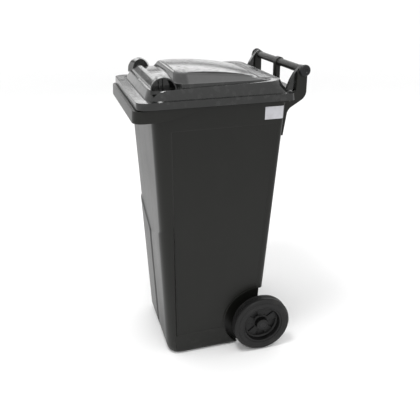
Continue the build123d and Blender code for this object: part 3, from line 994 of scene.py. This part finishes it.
    def arm(self) -> Blank:
        """Right-hand hinge arm, from the flange up to its eye."""
        slant = self.arm_eye * math.sin(math.radians(45))
        y, z = self.hinge_y, self.hinge_z
        base = self.top - self.wall / 2
        outline = [(self.rear - 0.018, base), (self.rear + 0.016, base), (y + slant, z - slant),
                   (y - slant, z + slant), (self.rear + 0.011, z - 0.016),
                   (self.rear - 0.004, self.top + 0.0005), (self.rear - 0.018, self.top + 0.0005)]
        rounding = {1: 0.008, 4: 0.018}
        arm = Blank("arm").outline([(self.arm_inner, *place) for place in outline], rounding, 6)
        arm.thicken((self.arm_outer - self.arm_inner, 0, 0))
        arm.fuse(Blank("eye").rod((self.arm_inner, y, z), (self.arm_outer, y, z), self.arm_eye))
        return arm.ease(0.0012, 2, 40.0)

    def build(self, wardrobe: "Wardrobe") -> None:
        """Puts the lid together: its right half is made whole, and then mirrored."""
        lid = self.shell()
        lid.fuse(self.block())
        lid.fuse(self.hood())
        lid.fuse(self.arm())
        lid.cut(Blank("bore").rod((0.1, self.hinge_y, self.hinge_z), (0.3, self.hinge_y, self.hinge_z),
                                  self.pin_bore))
        lid.saw((0, 0, 0), (1, 0, 0), drop_below=True)
        lid.mirrored()
        lid.finish(wardrobe, Finish.LID, "lid", "lid", smooth_below=28.0)


# ------------------------------------------------------------------ tub
@dataclass
class Tub:
    """Tapered container with its shoes, side panels, wheel arches, axle channel and lugs."""

    base_half: float = 0.170
    base_front: float = -0.183
    base_rear: float = 0.135
    front_corner: float = 0.040
    rear_corner: float = 0.015
    wall: float = 0.004
    foot: float = 0.016
    shoe_middle: float = 0.400
    shoe_corner: float = 0.492
    shoe_height: float = 0.0035
    shoe_edge: float = 0.007
    shoe_toe: float = 0.030
    channel_half: float = 0.011
    panel_front: float = -0.160
    panel_rear_set: float = 0.020
    panel_top: float = 0.806
    panel_bottom: float = 0.075
    panel_depth: float = 0.0032
    panel_edge: float = 0.004
    arch_radius: float = 0.122
    arch_face: float = 0.145
    channel_depth: float = 0.026
    channel_height: float = 0.068
    lug_radius: float = 0.018
    lug_width: float = 0.012
    inner_lug: float = 0.062
    boss_radius: float = 0.017
    boss: float = 0.005

    def __post_init__(self) -> None:
        """Reads the mouth and the axle from the frame."""
        low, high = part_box("tub")
        self.top_half, self.top_front, self.top_rear, self.top = high.x, low.y, high.y, high.z
        axle = NodeBox("axle")
        self.axle_y, self.axle_z, self.axle_radius = axle.y, axle.z, axle.radius

    def ring(self, z: float, inset: float = 0.0) -> Ring:
        """The outer face's outline at a height."""
        share = z / self.top
        half = self.base_half + (self.top_half - self.base_half) * share
        front = self.base_front + (self.top_front - self.base_front) * share
        rear = self.base_rear + (self.top_rear - self.base_rear) * share
        return Ring(half, front, rear, z, z, self.front_corner, self.rear_corner).inset(inset)

    def _round_foot(self, blank: Blank) -> None:
        """Rounds the edge between the floor and the walls."""
        blank.pick_edges(lambda a, b, angle: max(a.z, b.z) < 1e-4 and angle > 30)
        blank.round_over(self.foot, 5)
        blank.weld()

    def skin(self) -> Blank:
        """Outer face with its shoes and side panels, open at the top."""
        skin = Blank("tub_shell").loft([self.ring(0.0), self.ring(self.top)], close_first=True)
        self._round_foot(skin)
        skin.saw((0, 0, 0), (1, 0, 0), drop_below=True)
        rise = self.shoe_corner - self.shoe_middle
        run = self.ring(self.shoe_corner).half
        slope = Vector((-rise, 0.0, run)).normalized()
        brow = Vector((0.0, 0.0, self.shoe_middle))
        low_brow = brow - slope * self.shoe_edge
        inner = self.channel_half + self.shoe_edge
        skin.saw(brow, slope)
        skin.saw(low_brow, slope)
        for across in (self.channel_half, inner):
            skin.saw((across, 0, 0), (1, 0, 0))
        for depth in (self.panel_front, self.panel_front + self.panel_edge):
            skin.saw((0, depth, 0), (0, 1, 0))
        skin.saw((0, 0, self.shoe_toe), (0, 0, 1))
        lean = Vector((0.0, self.top, -(self.top_rear - self.base_rear))).normalized()
        rear_line = Vector((0.0, self.base_rear - self.panel_rear_set, 0.0))
        skin.saw(rear_line, lean)
        skin.saw(rear_line - lean * self.panel_edge, lean)
        for level in (self.panel_top, self.panel_top - self.panel_edge, self.panel_bottom,
                      self.panel_bottom + self.panel_edge):
            skin.saw((0, 0, level), (0, 0, 1))
        skin.weld()

        def in_shoe(middle: Vector, normal: Vector) -> bool:
            """Whether a face lies on the raised shoe."""
            below = (middle - low_brow).dot(slope) < 0
            ahead = middle.x > inner and middle.y < self.panel_front
            return below and ahead and middle.z > self.shoe_toe

        skin.pick_faces(in_shoe)
        bpy.ops.transform.shrink_fatten(value=self.shoe_height)

        def in_panel(middle: Vector, normal: Vector) -> bool:
            """Whether a face lies in the sunken side panel."""
            tall = self.panel_bottom + self.panel_edge < middle.z < self.panel_top - self.panel_edge
            behind = (middle - rear_line + lean * self.panel_edge).dot(lean) < 0
            within = behind and middle.y > self.panel_front + self.panel_edge
            return normal.x > 0.9 and tall and within

        skin.pick_faces(in_panel)
        skin.shift((-self.panel_depth, 0, 0))
        return skin.mirrored()

    def running_space(self, grow: float) -> Blank:
        """Both wheel arches and the channel between them, grown by a wall."""
        y, z = self.axle_y, self.axle_z
        half = self.channel_height / 2 + grow
        space = Blank("space").slab((-self.arch_face, y - self.channel_depth - grow, z - half),
                                    (self.arch_face, 0.4, z + half))
        for sign in (-1, 1):
            space.fuse(Blank("arch").rod((sign * (self.arch_face - grow), y, z), (sign * 0.4, y, z),
                                         self.arch_radius + grow, 96))
        return space

    def lugs(self) -> Blank:
        """The four lugs across the channel and the bosses outside the arch walls."""
        y, z = self.axle_y, self.axle_z
        front = y - self.channel_depth - self.wall / 2
        half = self.channel_height / 2 + self.wall / 2
        lugs = Blank("axle_lugs")
        for end in (self.arch_face, self.inner_lug):
            for sign in (-1, 1):
                start = end * sign if sign < 0 else end - self.lug_width
                side = [(start, front, z - half), (start, y, z - self.lug_radius),
                        (start, y, z + self.lug_radius), (start, front, z + half)]
                lug = Blank("lug").outline(side).thicken((self.lug_width, 0, 0))
                end_face = start + self.lug_width
                lug.fuse(Blank("eye").rod((start, y, z), (end_face, y, z), self.lug_radius))
                lugs.take(lug)
        for sign in (-1, 1):
            lugs.take(Blank("boss").rod((sign * (self.arch_face - 0.002), y, z),
                                        (sign * (self.arch_face + self.boss), y, z), self.boss_radius))
        lugs.weld()
        lugs.cut(Blank("bore").rod((-0.3, y, z), (0.3, y, z), self.axle_radius + 0.00005))
        return lugs.ease(0.001, 2, 40.0)

    def build(self, wardrobe: "Wardrobe") -> None:
        """Puts the tub together."""
        shell = self.skin()
        shell.wall(self.wall)
        form = Blank("form").loft([self.ring(0.0, 0.001), self.ring(0.42, 0.001)], True, True)
        self._round_foot(form)
        arches = self.running_space(self.wall)
        shell.fuse(arches.keep(form))
        shell.cut(self.running_space(0.0))
        shell.ease(0.0012, 2, 30.0)
        shell.finish(wardrobe, Finish.TUB, "container", "tub")
        self.lugs().finish(wardrobe, Finish.TUB, "container")


# ------------------------------------------------------------------ rim and comb lip
@dataclass
class Rim:
    """Hollow rim with the comb lip, its swept apron and the ribs between the comb slots."""

    seat_front: float = -0.248
    lip_drop: float = 0.019
    corner: float = 0.030
    rear_corner: float = 0.015
    wall: float = 0.0035
    apron_rear: float = 0.021
    sweep_start: float = 0.052
    sweep_length: float = 0.190
    sweep_bend: float = 0.05
    ribs: int = 7
    rib_pitch: float = 0.060
    rib_width: float = 0.004

    def build(self, wardrobe: "Wardrobe") -> None:
        """Puts the rim together."""
        low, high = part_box("rim_and_comb")
        mouth_low, mouth_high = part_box("tub")
        half, front, rear, bottom, top = high.x, low.y, high.y, low.z, high.z
        lip = top - self.lip_drop
        seat = half - 0.0012
        rim = Blank("rim_shell").loft([
            *[Ring(wide, ahead, behind, z, z, self.corner, self.rear_corner)
              for wide, ahead, behind, z in (
                  (half, front, rear, bottom),
                  (half, front, rear, bottom + 0.006),
                  (half - 0.0008, front + 0.002, rear - 0.0004, lip),
                  (seat, self.seat_front, rear - 0.0008, lip + 0.0008),
                  (seat, self.seat_front + 0.001, rear - 0.0012, top))],
            Ring(mouth_high.x, mouth_low.y, mouth_high.y, top, top, 0.040, 0.015).inset(0.0015)])
        rim.wall(self.wall)
        rim.ease(0.0022, 3, 24.0)
        ribs = Blank("ribs")
        first = -(self.ribs - 1) / 2 * self.rib_pitch - self.rib_width / 2
        wall_y = mouth_low.y + 0.003
        side = [(front + 0.003, bottom + 0.004), (wall_y, bottom), (wall_y, lip - 0.002),
                (front + 0.003, lip - 0.002)]
        for number in range(self.ribs):
            rib = Blank("rib").outline([(first + number * self.rib_pitch, y, z) for y, z in side])
            ribs.take(rib.thicken((self.rib_width, 0, 0)))
        rim.fuse(ribs)
        start_y = front + self.sweep_start
        end_y = start_y + self.sweep_length
        high_z = top - self.apron_rear
        bend = self.sweep_bend
        below = [(start_y - bend, bottom - bend), (0.5, bottom - bend), (0.5, high_z),
                 (end_y - bend, high_z), (start_y + bend, bottom), (start_y - bend, bottom)]
        sweep = Blank("sweep").outline([(-0.4, y, z) for y, z in below], {3: bend, 4: bend}, 12)
        rim.cut(sweep.thicken((0.8, 0, 0)))
        rim.finish(wardrobe, Finish.TUB, "container", "rim_and_comb")


# ------------------------------------------------------------------ rear handle
@dataclass
class RearHandle:
    """Grip bar, centre post, shelf and the two forked hinge brackets."""

    # inner face, outer face, rear set, eye radius and front edge of the right bracket's two webs
    WEBS = ((0.160, 0.168, 0.006, 0.013, 0.017), (0.184, 0.194, 0.0, 0.015, 0.020))

    grip: float = 0.0115
    boss: float = 0.015
    boss_width: float = 0.028
    web_rear: float = 0.010
    heel_drop: float = 0.077
    knee_set: float = 0.048
    knee_drop: float = 0.112
    toe_set: float = 0.060
    toe_drop: float = 0.190
    post_width: float = 0.024
    post_depth: float = 0.017
    post_rear: float = 0.003
    shelf_drop: float = 0.002
    shelf_thickness: float = 0.005
    pin_radius: float = 0.00702
    wall_reach: float = 0.021
    tub_bite: float = 0.0015

    def __post_init__(self) -> None:
        """Reads the hinge line from the frame."""
        pin = NodeBox("hinge_pin_right")
        self.y, self.z = pin.y, pin.z
        self.wall_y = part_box("tub")[1].y - self.wall_reach
        self.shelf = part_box("rim_and_comb")[1].z - self.shelf_drop

    def web(self, start: float, end: float, cut: float, eye: float, front: float) -> Blank:
        """One bracket plate with its eye.

        Args:
            start: its inner face.
            end: its outer face.
            cut: how far its rear edge lies in front of the outermost one.
            eye: the eye's radius.
            front: its front edge, before the hinge line.

        Returns:
            The plate.
        """
        back = self.y + self.web_rear - cut
        side = [(self.y - self.toe_set - cut, self.z - self.toe_drop),
                (self.y - self.knee_set - cut, self.z - self.knee_drop),
                (back, self.z - self.heel_drop), (back, self.z), (self.y - front, self.z),
                (self.y - front - 0.004, self.shelf), (self.wall_y, self.shelf),
                (self.wall_y, self.z - self.toe_drop)]
        rounding = {1: 0.012, 2: 0.016, 5: 0.006}
        plate = Blank("web").outline([(start, *place) for place in side], rounding, 8)
        plate.thicken((end - start, 0, 0))
        return plate.fuse(Blank("eye").rod((start, self.y, self.z), (end, self.y, self.z), eye))

    def build(self, wardrobe: "Wardrobe") -> None:
        """Puts the handle together: its right half is made whole, and then mirrored."""
        y, z, shelf = self.y, self.z, self.shelf
        back = y + self.post_rear
        inner, outer = self.WEBS[0][0], self.WEBS[1][1]
        handle = Blank("rear_handle_shell")
        handle.rod((-inner - 0.001, y, z), (inner + 0.001, y, z), self.grip)
        boss = Blank("boss").rod((-self.boss_width / 2, y, z), (self.boss_width / 2, y, z), self.boss)
        handle.fuse(boss.ease(0.003, 3, 40.0))
        post = Blank("post").slab((-self.post_width / 2, back - self.post_depth, shelf - 0.003),
                                  (self.post_width / 2, back, z))
        handle.fuse(post.ease(0.003, 3, 40.0))
        handle.fuse(Blank("shelf").slab((-outer + 0.001, self.wall_y, shelf - self.shelf_thickness),
                                        (outer - 0.001, back, shelf)))
        for web in self.WEBS:
            handle.fuse(self.web(*web))
        handle.cut(Blank("bore").rod((inner - 0.010, y, z), (0.3, y, z), self.pin_radius))
        tub = Tub()
        mouth = [tub.ring(0.6, self.tub_bite), tub.ring(tub.top + 0.001, self.tub_bite)]
        handle.cut(Blank("mouth").loft(mouth, True, True))
        handle.saw((0, 0, 0), (1, 0, 0), drop_below=True)
        handle.mirrored()
        handle.ease(0.0012, 2, 35.0)
        handle.finish(wardrobe, Finish.TUB, "container", "rear_handle")


# ------------------------------------------------------------------ pins, caps and wheels
@dataclass
class TurnedPieces:
    """Everything that is round about its own axis: hinge pins, retaining caps, tyres and hubs."""

    # half a tyre from the middle of its tread: place across, depth below the tread
    TREAD = ((0.0, 0.0006), (0.0018, 0.0006), (0.0026, 0.0026), (0.0044, 0.0026), (0.0052, 0.0002),
             (0.0118, 0.0), (0.0126, 0.0020), (0.0144, 0.0020), (0.0152, 0.0010), (0.0178, 0.0026),
             (0.0202, 0.0056), (0.0218, 0.0092), (0.0212, 0.0128), (0.0226, 0.0142))
    # the rest of its wall, inside the widest band
    WALL = ((0.0221, 0.0228), (0.0216, 0.0262))

    pin_radius: float = 0.007
    knob_height: float = 0.009
    ring_thickness: float = 0.008
    web_set: float = 0.023
    web: float = 0.006
    boss_radius: float = 0.022
    bush_radius: float = 0.013
    windows: int = 5
    spoke_half_angle: float = 14.0
    pocket_depth: float = 0.0045
    pocket_brink: float = 0.0012
    ring_width: float = 0.040

    def pin(self) -> Blank:
        """Right-hand hinge pin with a dished round head."""
        pin = NodeBox("hinge_pin_right")
        start, end, knob = pin.low.x, pin.high.x, pin.radius
        head = end - self.knob_height
        profile = [(start, 0.0), (start, self.pin_radius - 0.0012), (start + 0.0012, self.pin_radius),
                   (head, self.pin_radius), (head, knob - 0.0012), (head + 0.0012, knob),
                   (end - 0.0045, knob), (end - 0.0022, knob - 0.0010), (end - 0.0007, knob - 0.0028),
                   (end, knob - 0.0055), (end - 0.0004, 0.0065), (end - 0.0016, 0.0055),
                   (end - 0.0018, 0.0)]
        return Blank("hinge_pin_head_right").lathe(profile, pin.y, pin.z, 64)

    def cap(self) -> Blank:
        """Right-hand retaining cap with a stepped crown."""
        cap, axle = NodeBox("retaining_cap_right"), NodeBox("axle")
        start, end, rim = cap.low.x, cap.high.x, cap.radius
        bore = axle.radius + 0.00002
        floor = axle.high.x
        profile = [(floor, 0.0), (floor, bore), (start, bore), (start, rim), (start + 0.0025, rim),
                   (start + 0.0032, rim - 0.0008), (end - 0.0034, rim - 0.0012),
                   (end - 0.0012, rim - 0.0024), (end, rim - 0.0052), (end - 0.0006, 0.0055),
                   (end - 0.0014, 0.0045), (end - 0.0014, 0.0)]
        return Blank("retaining_cap_cover_right").lathe(profile, cap.y, cap.z, 64)

    def tyre(self) -> Blank:
        """Right-hand tyre with grooved tread and ridged walls."""
        tyre, hub = NodeBox("tyre_right"), NodeBox("wheel_hub_right").radius
        rim = tyre.radius
        middle = (tyre.low.x + tyre.high.x) / 2
        half = (tyre.high.x - tyre.low.x) / 2
        side = [(across, rim - drop) for across, drop in
                (*self.TREAD, (half, 0.0162), (half, 0.0212), *self.WALL)]
        side += [(0.0222, hub + 0.0022), (0.0210, hub)]
        profile = [(middle + across, radius) for across, radius in side]
        profile += [(middle - across, radius) for across, radius in reversed(side[1:])]
        return Blank("tyre_tread_right").lathe(profile, tyre.y, tyre.z, 112)

    def hub(self) -> Blank:
        """Right-hand hub: ring, dished web with blind pockets between its spokes, and long boss."""
        box, tyre = NodeBox("wheel_hub_right"), NodeBox("tyre_right")
        start, end, rim = box.low.x, box.high.x, box.radius
        boss, bush = self.boss_radius, self.bush_radius
        ring_inner = (tyre.low.x + tyre.high.x) / 2 - self.ring_width / 2
        ring_outer = ring_inner + self.ring_width
        face = tyre.high.x - self.web_set
        back = face - self.web
        inner = rim - self.ring_thickness
        profile = [(start, bush), (start, boss - 0.002), (back, boss), (back, inner - 0.002),
                   (ring_inner, inner), (ring_inner, rim - 0.001), (ring_inner + 0.001, rim),
                   (ring_outer - 0.001, rim), (ring_outer, rim - 0.001), (ring_outer, inner + 0.0035),
                   (ring_outer - 0.0016, inner + 0.0014), (ring_outer - 0.006, inner),
                   (face + 0.003, inner - 0.0016), (face, inner - 0.0048), (face, boss + 0.0045),
                   (face + 0.002, boss + 0.001), (end - 0.0015, boss - 0.0015), (end, boss - 0.0032),
                   (end, bush)]
        hub = Blank("wheel_hub_dish_right").lathe(profile, box.y, box.z, 120)
        sector = 360.0 / self.windows

        def in_window(middle: Vector, normal: Vector) -> bool:
            """Whether a face lies between two spokes of the outer web face."""
            turn = math.degrees(math.atan2(middle.y - box.y, middle.z - box.z)) % sector
            between = self.spoke_half_angle < turn < sector - self.spoke_half_angle
            return normal.x > 0.95 and abs(middle.x - face) < 1e-4 and between

        hub.pick_faces(in_window)
        bpy.ops.mesh.inset(thickness=0.0022, depth=-self.pocket_brink)
        hub.pull((-self.pocket_depth + self.pocket_brink, 0, 0))
        return hub.weld()

    def build(self, wardrobe: "Wardrobe") -> None:
        """Turns every round piece and its twin on the left."""
        for make, finish, node, rides in ((self.pin, Finish.PIN, "hinge_pin", "container"),
                                          (self.cap, Finish.CAP, "retaining_cap", "container"),
                                          (self.tyre, Finish.TYRE, "tyre", "wheel"),
                                          (self.hub, Finish.HUB, "wheel_hub", "wheel")):
            right = make()
            left = right.twin(right.piece.name.replace("right", "left")).flip()
            for blank, side in ((right, "right"), (left, "left")):
                body = f"{rides}_{side}" if rides == "wheel" else rides
                blank.finish(wardrobe, finish, body, f"{node}_{side}")


# ------------------------------------------------------------------ studio
@dataclass
class Studio:
    """Floor, lights and camera around the bin."""

    target: Point = (0.0, 0.0145, 0.4536)
    distance: float = 1.892
    azimuth: float = 73.77
    elevation: float = 23.73
    roll: float = -0.49
    lens: float = 46.33
    floor_size: float = 40.0
    card_colour: Colour = (0.22, 0.22, 0.22)
    surroundings: float = 1.2

    def camera(self) -> None:
        """Sets the camera on its arc round the target."""
        turn, tilt = math.radians(self.azimuth), math.radians(self.elevation)
        forward = Vector((-math.sin(turn) * math.cos(tilt), math.cos(turn) * math.cos(tilt),
                          -math.sin(tilt)))
        right = Vector((math.cos(turn), math.sin(turn), 0.0))
        up = right.cross(forward)
        lean = math.radians(self.roll)
        side = right * math.cos(lean) + up * math.sin(lean)
        top = up * math.cos(lean) - right * math.sin(lean)
        data = bpy.data.cameras.new("camera")
        data.lens = self.lens
        data.sensor_width = 36.0
        data.clip_end = 100.0
        camera = bpy.data.objects.new("camera", data)
        bpy.context.scene.collection.objects.link(camera)
        axes = Matrix((side, top, -forward)).transposed().to_4x4()
        camera.matrix_world = Matrix.Translation(Vector(self.target) - forward * self.distance) @ axes
        bpy.context.scene.camera = camera

    def floor(self) -> None:
        """Lays the plain pale floor."""
        bpy.ops.mesh.primitive_plane_add(size=self.floor_size)
        floor = bpy.context.object
        floor.name = "studio_floor"
        floor.data.materials.append(StudioPaper("studio_paper").material())

    def softbox(self, name: str, place: Point, aim: Point, size: tuple[float, float],
                power: float) -> None:
        """Hangs one rectangular soft light.

        Args:
            name: the light's name.
            place: its middle.
            aim: the point it faces.
            size: width and height.
            power: watts.
        """
        data = bpy.data.lights.new(name, "AREA")
        data.shape = "RECTANGLE"
        data.size, data.size_y = size
        data.energy = power
        lamp = bpy.data.objects.new(name, data)
        lamp.location = place
        lamp.rotation_euler = (Vector(aim) - Vector(place)).to_track_quat("-Z", "Y").to_euler()
        bpy.context.scene.collection.objects.link(lamp)

    def card(self, place: Point, aim: Point, size: tuple[float, float]) -> None:
        """Stands a grey card behind the bin, seen only as a reflection in the lid.

        Args:
            place: its middle.
            aim: the point it faces.
            size: width and height.
        """
        turn = (Vector(aim) - Vector(place)).to_track_quat("Z", "Y").to_euler()
        bpy.ops.mesh.primitive_plane_add(size=1.0, location=place, rotation=turn)
        card = bpy.context.object
        card.name = "studio_card"
        card.scale = (*size, 1.0)
        card.visible_camera = False
        card.data.materials.append(StudioPaper("card_paper", self.card_colour).material())

    def lights(self) -> None:
        """Sets the white surroundings, the grey card and the rear and overhead softboxes."""
        world = bpy.data.worlds.new("studio")
        world.use_nodes = True
        background = world.node_tree.nodes["Background"]
        background.inputs["Color"].default_value = (1.0, 1.0, 1.0, 1.0)
        background.inputs["Strength"].default_value = self.surroundings
        bpy.context.scene.world = world
        self.card((-3.2, 0.93, 1.90), (0.0, 0.0, 1.6), (6.0, 1.1))
        self.softbox("rear_softbox", (-3.05, 0.89, 1.85), (0.0, 0.0, 0.95), (4.0, 0.5), 15.0)
        self.softbox("top_softbox", (0.5, -0.5, 2.6), (0.0, 0.0, 0.9), (0.5, 0.5), 25.0)

    def build(self) -> None:
        """Builds the whole studio."""
        self.camera()
        self.floor()
        self.lights()
        bpy.context.scene.view_settings.view_transform = "Standard"


# ------------------------------------------------------------------ CAD nodes that stay
NODE_FINISH: dict[str, Finish] = {
    "tub": Finish.TUB, "rim_and_comb": Finish.TUB, "rear_handle": Finish.TUB, "lid": Finish.LID,
    "axle": Finish.STEEL, "id_label": Finish.LABEL, "hinge_pin": Finish.PIN, "tyre": Finish.TYRE,
    "wheel_hub": Finish.HUB, "hub_bush_inner": Finish.NYLON, "hub_bush_outer": Finish.NYLON,
    "inner_washer": Finish.ZINC, "outer_washer": Finish.ZINC, "retaining_cap": Finish.CAP,
}


def dress_frame(wardrobe: Wardrobe) -> None:
    """Gives every CAD node the finish of its kind."""
    for name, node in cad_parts.items():
        kind = name.removesuffix("_left").removesuffix("_right")
        wardrobe.dress(node, NODE_FINISH[kind])


def main() -> None:
    """Builds the bin's finished look and its studio."""
    logging.basicConfig(level=logging.INFO, format="%(message)s")
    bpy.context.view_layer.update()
    bpy.ops.object.select_all(action="DESELECT")
    Studio().build()
    wardrobe = Wardrobe()
    dress_frame(wardrobe)
    for assembly in (Lid(), Tub(), Rim(), RearHandle(), TurnedPieces()):
        assembly.build(wardrobe)


if __name__ == "__main__":
    main()
